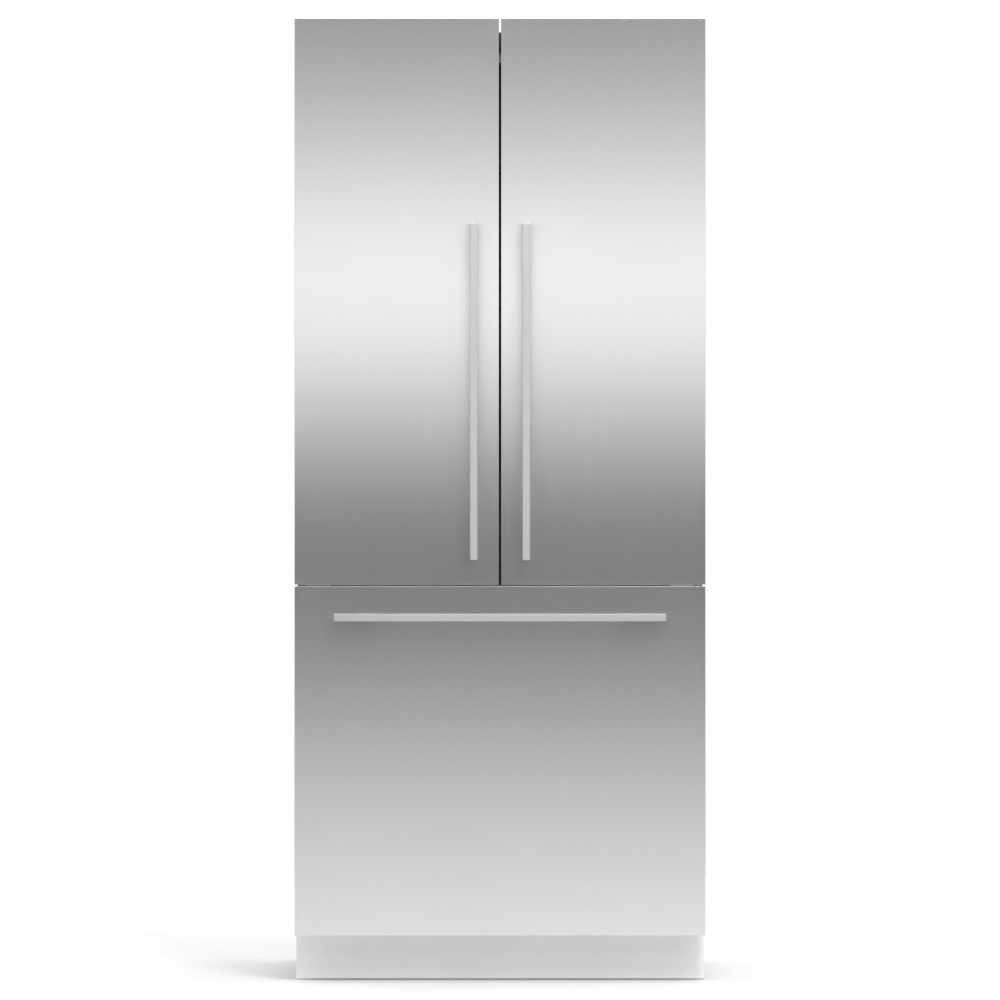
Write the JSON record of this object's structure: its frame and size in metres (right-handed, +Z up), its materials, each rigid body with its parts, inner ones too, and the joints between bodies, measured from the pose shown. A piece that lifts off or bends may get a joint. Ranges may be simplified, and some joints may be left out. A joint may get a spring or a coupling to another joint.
{
  "type": "french door refrigerator",
  "caption": "Tall built-in refrigerator with a pair of stainless doors over a pull-out freezer drawer, slim bar handles and a plain toe kick.",
  "frame": {"origin": "on the floor under the middle of the object's box", "axes": "+Z up, +X to the viewer's right, the doors face -Y"},
  "size_m": [0.91, 0.655, 2.134],
  "materials": {
    "brushed_stainless": "vertical brushed satin",
    "handle_stainless": "fine brushed satin, bright edges",
    "kick_steel": "pale satin",
    "cabinet_grey": "low-gloss powder coat",
    "galvanised_steel": "dull zinc",
    "zinc_hardware": "bright zinc plate",
    "insulating_foam": "closed-cell polyurethane foam",
    "liner_white": "vacuum-formed, soft gloss",
    "door_core_skin": "foam core in a grey skin",
    "gasket_grey": "soft matt vinyl",
    "clear_bin": "clear moulded, frosted base",
    "shelf_trim": "satin",
    "shelf_glass": "toughened, clear",
    "light_lens": "diffusing",
    "basket_plastic": "white moulded",
    "fin_aluminium": "mill finish",
    "compressor_black": "semi-gloss enamel",
    "black_plastic": "fine texture",
    "condenser_black": "black dipped",
    "fan_plastic": "satin",
    "roller_nylon": "worn nylon"
  },
  "bodies": {
    "cabinet": {"side_panels": "cabinet_grey", "top_panel": "galvanised_steel", "back_panel": "galvanised_steel", "rear_grille": "galvanised_steel", "cabinet_foam": "insulating_foam", "fridge_liner": "liner_white", "freezer_liner": "liner_white", "face_frame": "cabinet_grey", "base_chassis": "galvanised_steel", "toe_kick": "kick_steel", "anti_tip_bracket": "galvanised_steel", "upper_hinges": "zinc_hardware", "center_hinges": "zinc_hardware", "hinge_screws": "zinc_hardware", "shelf_ladders": "zinc_hardware", "shelf_frames": "shelf_trim", "shelf_glass": "shelf_glass", "air_duct": "liner_white", "light_bars": "light_lens", "control_panel": "shelf_trim", "mullion_guide": "shelf_trim", "freezer_duct": "liner_white", "evaporator": "fin_aluminium", "compressor": "compressor_black", "condenser": "condenser_black", "condenser_shroud": "fan_plastic", "drain_pan": "black_plastic", "control_box": "black_plastic", "power_inlet": "black_plastic", "slide_outer": "zinc_hardware"},
    "left_door": {"left_door_panel": "brushed_stainless", "left_door_core": "door_core_skin", "left_door_liner": "liner_white", "left_door_gasket": "gasket_grey", "left_handle": "handle_stainless", "left_door_bins": "clear_bin"},
    "right_door": {"right_door_panel": "brushed_stainless", "right_door_core": "door_core_skin", "right_door_liner": "liner_white", "right_door_gasket": "gasket_grey", "right_handle": "handle_stainless", "right_door_bins": "clear_bin"},
    "mullion": {"mullion": "shelf_trim"},
    "dairy_lid": {"dairy_lid": "clear_bin"},
    "freezer_drawer": {"drawer_panel": "brushed_stainless", "drawer_core": "door_core_skin", "drawer_gasket": "gasket_grey", "drawer_handle": "handle_stainless", "freezer_basket": "basket_plastic", "slide_inner": "zinc_hardware"},
    "drawer_slides": {"slide_middle": "zinc_hardware"},
    "freezer_tray": {"freezer_tray": "clear_bin"},
    "left_crisper": {"left_crisper": "clear_bin"},
    "right_crisper": {"right_crisper": "clear_bin"},
    "evaporator_fan": {"evaporator_fan": "fan_plastic"},
    "condenser_fan": {"condenser_fan": "fan_plastic"},
    "left_foot": {"left_foot": "black_plastic"},
    "right_foot": {"right_foot": "black_plastic"},
    "left_roller": {"left_roller": "roller_nylon"},
    "right_roller": {"right_roller": "roller_nylon"}
  },
  "joints": [
    {"name": "left_door_hinge", "type": "hinge", "parent": "cabinet", "child": "left_door", "pos_m": [-0.439, -0.2505, 1.48], "axis": [0, 0, -1], "range_deg": [0, 115]},
    {"name": "right_door_hinge", "type": "hinge", "parent": "cabinet", "child": "right_door", "pos_m": [0.439, -0.2505, 1.48], "axis": [0, 0, 1], "range_deg": [0, 115]},
    {"name": "mullion_fold", "type": "hinge", "parent": "left_door", "child": "mullion", "pos_m": [-0.03, -0.1985, 1.48], "axis": [0, 0, -1], "range_deg": [0, 90]},
    {"name": "dairy_lid_hinge", "type": "hinge", "parent": "left_door", "child": "dairy_lid", "pos_m": [-0.2185, -0.2095, 1.84033], "axis": [1, 0, 0], "range_deg": [0, 90]},
    {"name": "drawer_slide", "type": "slide", "parent": "cabinet", "child": "freezer_drawer", "axis": [0, -1, 0], "range_m": [0, 0.45]},
    {"name": "slide_extension", "type": "slide", "parent": "cabinet", "child": "drawer_slides", "axis": [0, -1, 0], "range_m": [0, 0.225]},
    {"name": "tray_slide", "type": "slide", "parent": "freezer_drawer", "child": "freezer_tray", "axis": [0, 1, 0], "range_m": [0, 0.2]},
    {"name": "left_crisper_slide", "type": "slide", "parent": "cabinet", "child": "left_crisper", "axis": [0, -1, 0], "range_m": [0, 0.1]},
    {"name": "right_crisper_slide", "type": "slide", "parent": "cabinet", "child": "right_crisper", "axis": [0, -1, 0], "range_m": [0, 0.1]},
    {"name": "evaporator_fan_spin", "type": "hinge", "parent": "cabinet", "child": "evaporator_fan", "pos_m": [0, 0.2375, 0.761], "axis": [0, 1, 0], "continuous": true},
    {"name": "condenser_fan_spin", "type": "hinge", "parent": "cabinet", "child": "condenser_fan", "pos_m": [-0.155, 0.2325, 0.205], "axis": [1, 0, 0], "continuous": true},
    {"name": "left_foot_turn", "type": "hinge", "parent": "cabinet", "child": "left_foot", "pos_m": [-0.43, -0.1705, 0.05], "axis": [0, 0, 1], "continuous": true},
    {"name": "right_foot_turn", "type": "hinge", "parent": "cabinet", "child": "right_foot", "pos_m": [0.43, -0.1705, 0.05], "axis": [0, 0, 1], "continuous": true},
    {"name": "left_roller_spin", "type": "hinge", "parent": "cabinet", "child": "left_roller", "pos_m": [-0.43, 0.2775, 0.02], "axis": [1, 0, 0], "continuous": true},
    {"name": "right_roller_spin", "type": "hinge", "parent": "cabinet", "child": "right_roller", "pos_m": [0.43, 0.2775, 0.02], "axis": [1, 0, 0], "continuous": true}
  ],
  "couplings": [
    {"joint": "slide_extension", "follows": "drawer_slide", "ratio": 0.5}
  ]
}
